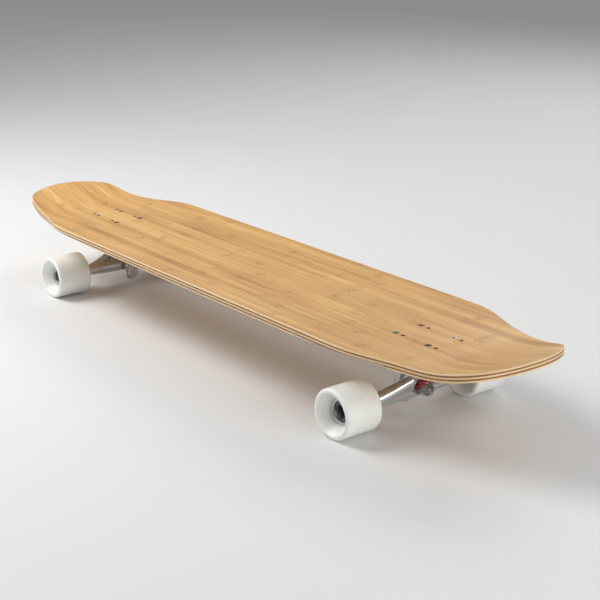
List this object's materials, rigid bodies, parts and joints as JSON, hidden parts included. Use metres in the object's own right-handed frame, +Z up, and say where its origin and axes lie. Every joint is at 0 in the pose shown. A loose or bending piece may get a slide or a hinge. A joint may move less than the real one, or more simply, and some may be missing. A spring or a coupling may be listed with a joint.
{
  "type": "longboard skateboard",
  "caption": "Kicktail longboard with a laminated bamboo deck, reverse-kingpin trucks that steer on urethane bushings, and urethane wheels on ball bearings.",
  "frame": {"origin": "on the ground, midway between the two trucks", "axes": "+X towards the nose, +Y to the left side, +Z up"},
  "size_m": [1.028, 0.2608, 0.1232],
  "materials": {
    "bamboo": "satin",
    "ply_brown": "satin",
    "bolt_green": "gloss",
    "bolt_copper": "gloss",
    "bolt_purple": "gloss",
    "steel": "satin",
    "dark_steel": "satin",
    "cast_aluminium": "satin",
    "bushing_urethane": "satin",
    "cup_urethane": "satin",
    "wheel_urethane": "satin",
    "core_plastic": "matte",
    "shield_black": "satin",
    "cage_nylon": "matte"
  },
  "bodies": {
    "board": {"deck_top_ply": "bamboo", "deck_upper_crossply": "ply_brown", "deck_core_ply": "bamboo", "deck_lower_crossply": "ply_brown", "deck_bottom_ply": "bamboo", "deck_bolts_green": "bolt_green", "deck_bolts_silver": "steel", "deck_bolts_copper": "bolt_copper", "deck_bolts_purple": "bolt_purple", "deck_locknuts": "steel", "front_baseplate": "cast_aluminium", "front_pivot_cup": "cup_urethane", "front_kingpin": "steel", "front_boardside_bushing": "bushing_urethane", "front_roadside_bushing": "bushing_urethane", "front_kingpin_washers": "steel", "front_kingpin_nut": "steel", "rear_baseplate": "cast_aluminium", "rear_pivot_cup": "cup_urethane", "rear_kingpin": "steel", "rear_boardside_bushing": "bushing_urethane", "rear_roadside_bushing": "bushing_urethane", "rear_kingpin_washers": "steel", "rear_kingpin_nut": "steel"},
    "front_hanger_set": {"front_hanger": "cast_aluminium", "front_axle": "steel", "front_axle_nuts": "dark_steel", "front_speed_rings": "steel", "front_bearing_inner_races": "steel", "front_bearing_spacers": "steel"},
    "front_left_wheel": {"front_left_wheel_tyre": "wheel_urethane", "front_left_wheel_core": "core_plastic", "front_left_bearing_outer_races": "steel", "front_left_bearing_shields": "shield_black"},
    "front_right_wheel": {"front_right_wheel_tyre": "wheel_urethane", "front_right_wheel_core": "core_plastic", "front_right_bearing_outer_races": "steel", "front_right_bearing_shields": "shield_black"},
    "front_left_cages": {"front_left_bearing_cages": "cage_nylon", "front_left_bearing_balls": "steel"},
    "front_right_cages": {"front_right_bearing_cages": "cage_nylon", "front_right_bearing_balls": "steel"},
    "rear_hanger_set": {"rear_hanger": "cast_aluminium", "rear_axle": "steel", "rear_axle_nuts": "dark_steel", "rear_speed_rings": "steel", "rear_bearing_inner_races": "steel", "rear_bearing_spacers": "steel"},
    "rear_left_wheel": {"rear_left_wheel_tyre": "wheel_urethane", "rear_left_wheel_core": "core_plastic", "rear_left_bearing_outer_races": "steel", "rear_left_bearing_shields": "shield_black"},
    "rear_right_wheel": {"rear_right_wheel_tyre": "wheel_urethane", "rear_right_wheel_core": "core_plastic", "rear_right_bearing_outer_races": "steel", "rear_right_bearing_shields": "shield_black"},
    "rear_left_cages": {"rear_left_bearing_cages": "cage_nylon", "rear_left_bearing_balls": "steel"},
    "rear_right_cages": {"rear_right_bearing_cages": "cage_nylon", "rear_right_bearing_balls": "steel"}
  },
  "joints": [
    {"name": "front_steer", "type": "hinge", "parent": "board", "child": "front_hanger_set", "pos_m": [0.3348, 0, 0.0473], "axis": [0.6428, 0, 0.766], "range_deg": [-20, 20], "stiffness_Nm_per_rad": 22, "deforming": ["front_boardside_bushing", "front_roadside_bushing"]},
    {"name": "rear_steer", "type": "hinge", "parent": "board", "child": "rear_hanger_set", "pos_m": [-0.3348, 0, 0.0473], "axis": [-0.6428, 0, 0.766], "range_deg": [-20, 20], "stiffness_Nm_per_rad": 22, "deforming": ["rear_boardside_bushing", "rear_roadside_bushing"]},
    {"name": "front_left_spin", "type": "hinge", "parent": "front_hanger_set", "child": "front_left_wheel", "pos_m": [0.3265, 0.103, 0.0307], "axis": [0, 1, 0], "continuous": true},
    {"name": "front_left_cage_spin", "type": "hinge", "parent": "front_hanger_set", "child": "front_left_cages", "pos_m": [0.3265, 0.103, 0.0307], "axis": [0, 1, 0], "continuous": true},
    {"name": "front_right_spin", "type": "hinge", "parent": "front_hanger_set", "child": "front_right_wheel", "pos_m": [0.3265, -0.103, 0.0307], "axis": [0, 1, 0], "continuous": true},
    {"name": "front_right_cage_spin", "type": "hinge", "parent": "front_hanger_set", "child": "front_right_cages", "pos_m": [0.3265, -0.103, 0.0307], "axis": [0, 1, 0], "continuous": true},
    {"name": "rear_left_spin", "type": "hinge", "parent": "rear_hanger_set", "child": "rear_left_wheel", "pos_m": [-0.3265, 0.103, 0.0307], "axis": [0, 1, 0], "continuous": true},
    {"name": "rear_left_cage_spin", "type": "hinge", "parent": "rear_hanger_set", "child": "rear_left_cages", "pos_m": [-0.3265, 0.103, 0.0307], "axis": [0, 1, 0], "continuous": true},
    {"name": "rear_right_spin", "type": "hinge", "parent": "rear_hanger_set", "child": "rear_right_wheel", "pos_m": [-0.3265, -0.103, 0.0307], "axis": [0, 1, 0], "continuous": true},
    {"name": "rear_right_cage_spin", "type": "hinge", "parent": "rear_hanger_set", "child": "rear_right_cages", "pos_m": [-0.3265, -0.103, 0.0307], "axis": [0, 1, 0], "continuous": true}
  ],
  "couplings": [
    {"joint": "front_left_cage_spin", "follows": "front_left_spin", "ratio": 0.6323},
    {"joint": "front_right_cage_spin", "follows": "front_right_spin", "ratio": 0.6323},
    {"joint": "rear_left_cage_spin", "follows": "rear_left_spin", "ratio": 0.6323},
    {"joint": "rear_right_cage_spin", "follows": "rear_right_spin", "ratio": 0.6323}
  ]
}
